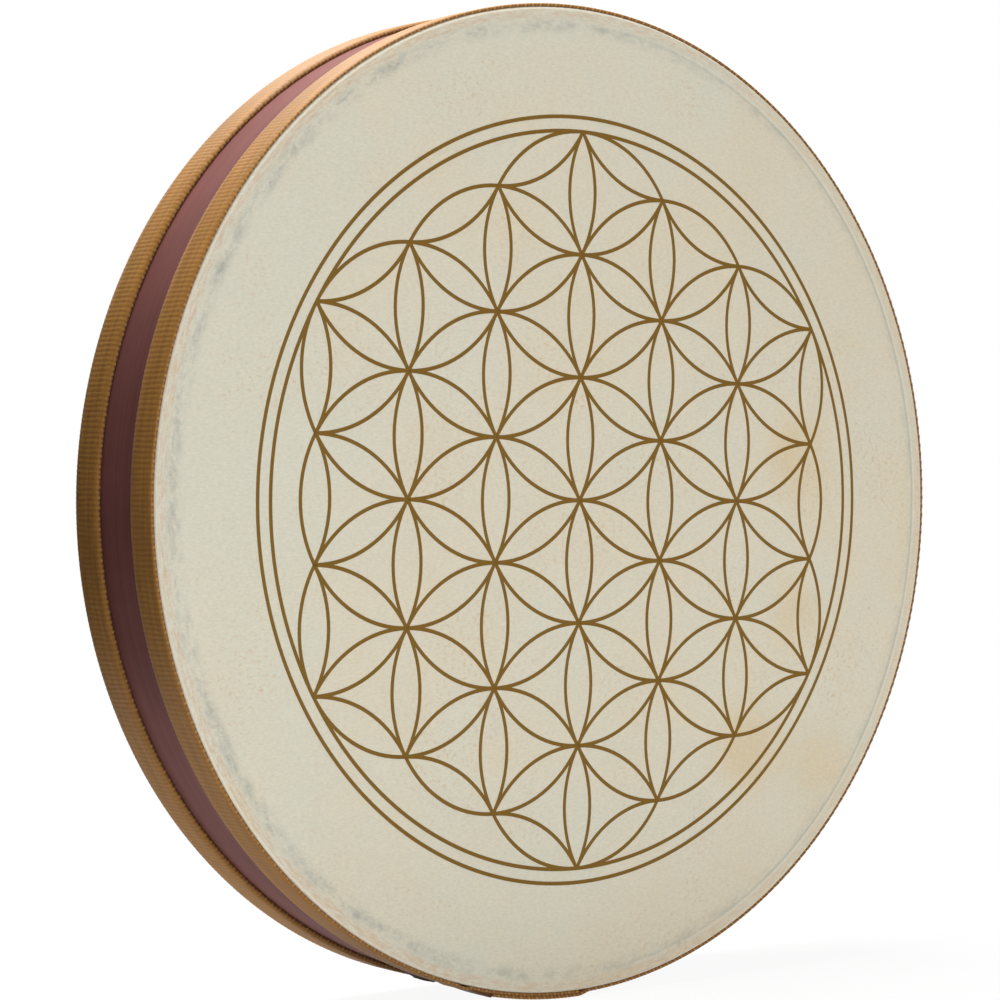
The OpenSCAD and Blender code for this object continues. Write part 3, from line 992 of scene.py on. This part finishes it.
# The camera that was fitted to the photographed print: its place, its turns in degrees and its lens in millimetres
CAMERA_PLACE = (-0.90511, -1.13426, 0.26032)
CAMERA_TURN = (89.711, -0.4944, -37.8563)
CAMERA_LENS = 100.56
CAMERA_SENSOR = 36


def lamp(name, place, width, height, watts):
    """A soft box that points at the middle of the drum."""
    light = bpy.data.lights.new(name, "AREA")
    light.shape = "RECTANGLE"
    light.size = width
    light.size_y = height
    light.energy = watts
    box = bpy.data.objects.new(name, light)
    bpy.context.scene.collection.objects.link(box)
    box.visible_camera = False
    box.location = place
    box.rotation_euler = (Vector((0, 0, AXIS_HEIGHT)) - Vector(place)).to_track_quat("-Z", "Y").to_euler()


def shown_white(tree):
    """1 for rays from the camera, a gloss or glass, which see the white background, and 0 for the rest."""
    direct = add(tree, "ShaderNodeLightPath", output="Is Camera Ray")
    paths = direct.node.outputs
    seen = add(tree, "ShaderNodeMath", {0: direct, 1: paths["Is Glossy Ray"]}, operation="MAXIMUM")
    return add(tree, "ShaderNodeMath", {0: seen, 1: paths["Is Transmission Ray"]}, operation="MAXIMUM")


class DRUM_OT_stage(bpy.types.Operator):
    """Sets up the pale floor, the soft boxes, the dark card, the white background and the camera"""

    bl_idname = "drum.stage"
    bl_label = "Stage"

    def execute(self, context):
        scene = context.scene
        scene.view_settings.view_transform = "Standard"

        # The floor is matt and pale. The camera sees the drum's shadow on it, and plain white further out
        deselect()
        bpy.ops.mesh.primitive_plane_add(size=FLOOR_SIZE, location=(0, 0, 0))
        floor = start("floor")
        material, tree = new_material("pale_floor")
        matt = add(tree, "ShaderNodeBsdfDiffuse", {"Color": linear("#f2f2f2")})
        white = add(tree, "ShaderNodeEmission", {"Color": (1, 1, 1, 1), "Strength": 1.0})
        place = add(tree, "ShaderNodeTexCoord", output="Object")
        distance = add(tree, "ShaderNodeVectorMath", {0: place}, "Value", operation="LENGTH")
        whiteness = add(tree, "ShaderNodeMapRange", {VALUE: distance, LOW: NEAR, HIGH: FAR, TO_LOW: NEAR_WHITENESS})
        share = add(tree, "ShaderNodeMath", {0: shown_white(tree), 1: whiteness}, operation="MULTIPLY")
        both = add(tree, "ShaderNodeMixShader", {0: share, 1: matt, 2: white})
        add(tree, "ShaderNodeOutputMaterial", {"Surface": both})
        floor.data.materials.append(material)

        # A black card at the left keeps the light off that side of the rim
        bpy.ops.mesh.primitive_plane_add(size=1, location=CARD_PLACE, rotation=(0, math.pi / 2, 0))
        bpy.context.object.scale = CARD_SIZE
        card = start("card")
        material, tree = new_material("black_card")
        matt = add(tree, "ShaderNodeBsdfDiffuse", {"Color": linear("#202020")})
        add(tree, "ShaderNodeOutputMaterial", {"Surface": matt})
        card.data.materials.append(material)
        card.visible_camera = False

        for soft_box in SOFT_BOXES:
            lamp(*soft_box)

        world = bpy.data.worlds.new("studio")
        world.use_nodes = True
        tree = world.node_tree
        tree.nodes.clear()
        dim = add(tree, "ShaderNodeBackground", {"Color": (1, 1, 1, 1), "Strength": SURROUNDING_LIGHT})
        white = add(tree, "ShaderNodeBackground", {"Color": (1, 1, 1, 1), "Strength": 1.0})
        both = add(tree, "ShaderNodeMixShader", {0: shown_white(tree), 1: dim, 2: white})
        add(tree, "ShaderNodeOutputWorld", {"Surface": both})
        scene.world = world

        view = bpy.data.cameras.new("camera")
        view.lens = CAMERA_LENS
        view.sensor_width = CAMERA_SENSOR
        camera = bpy.data.objects.new("camera", view)
        scene.collection.objects.link(camera)
        camera.location = CAMERA_PLACE
        camera.rotation_euler = [math.radians(turn) for turn in CAMERA_TURN]
        scene.camera = camera
        return {"FINISHED"}


class DRUM_PT_panel(bpy.types.Panel):
    """Lists the drum's sizes and colours, and the pieces that can be built"""

    bl_idname = "DRUM_PT_panel"
    bl_label = "Ocean Drum"
    bl_space_type = "VIEW_3D"
    bl_region_type = "UI"
    bl_category = "Ocean Drum"

    def draw(self, context):
        column = self.layout.column()
        for group in (context.scene.drum_ribbon, context.scene.drum_print, context.scene.drum_finish):
            for name in group.__annotations__:
                column.prop(group, name)
        for kind in ("ribbon", "skin"):
            for side in ("front", "rear"):
                column.operator(f"drum.{kind}", text=f"{side.capitalize()} {kind}").side = side
        for kind in ("tail", "print", "plug", "carried", "stage"):
            column.operator(f"drum.{kind}")


CLASSES = (
    DRUM_PG_ribbon, DRUM_PG_print, DRUM_PG_finish,
    DRUM_OT_ribbon, DRUM_OT_tail, DRUM_OT_skin, DRUM_OT_print, DRUM_OT_plug, DRUM_OT_carried, DRUM_OT_stage,
    DRUM_PT_panel,
)


def register():
    for each in CLASSES:
        bpy.utils.register_class(each)
    bpy.types.Scene.drum_ribbon = bpy.props.PointerProperty(type=DRUM_PG_ribbon)
    bpy.types.Scene.drum_print = bpy.props.PointerProperty(type=DRUM_PG_print)
    bpy.types.Scene.drum_finish = bpy.props.PointerProperty(type=DRUM_PG_finish)


def unregister():
    del bpy.types.Scene.drum_ribbon
    del bpy.types.Scene.drum_print
    del bpy.types.Scene.drum_finish
    for each in reversed(CLASSES):
        bpy.utils.unregister_class(each)


def main():
    register()
    bpy.ops.drum.carried()
    for side in ("front", "rear"):
        bpy.ops.drum.skin(side=side)
        bpy.ops.drum.ribbon(side=side)
    bpy.ops.drum.tail()
    bpy.ops.drum.print()
    bpy.ops.drum.plug()
    bpy.ops.drum.stage()


if __name__ == "__main__":
    main()
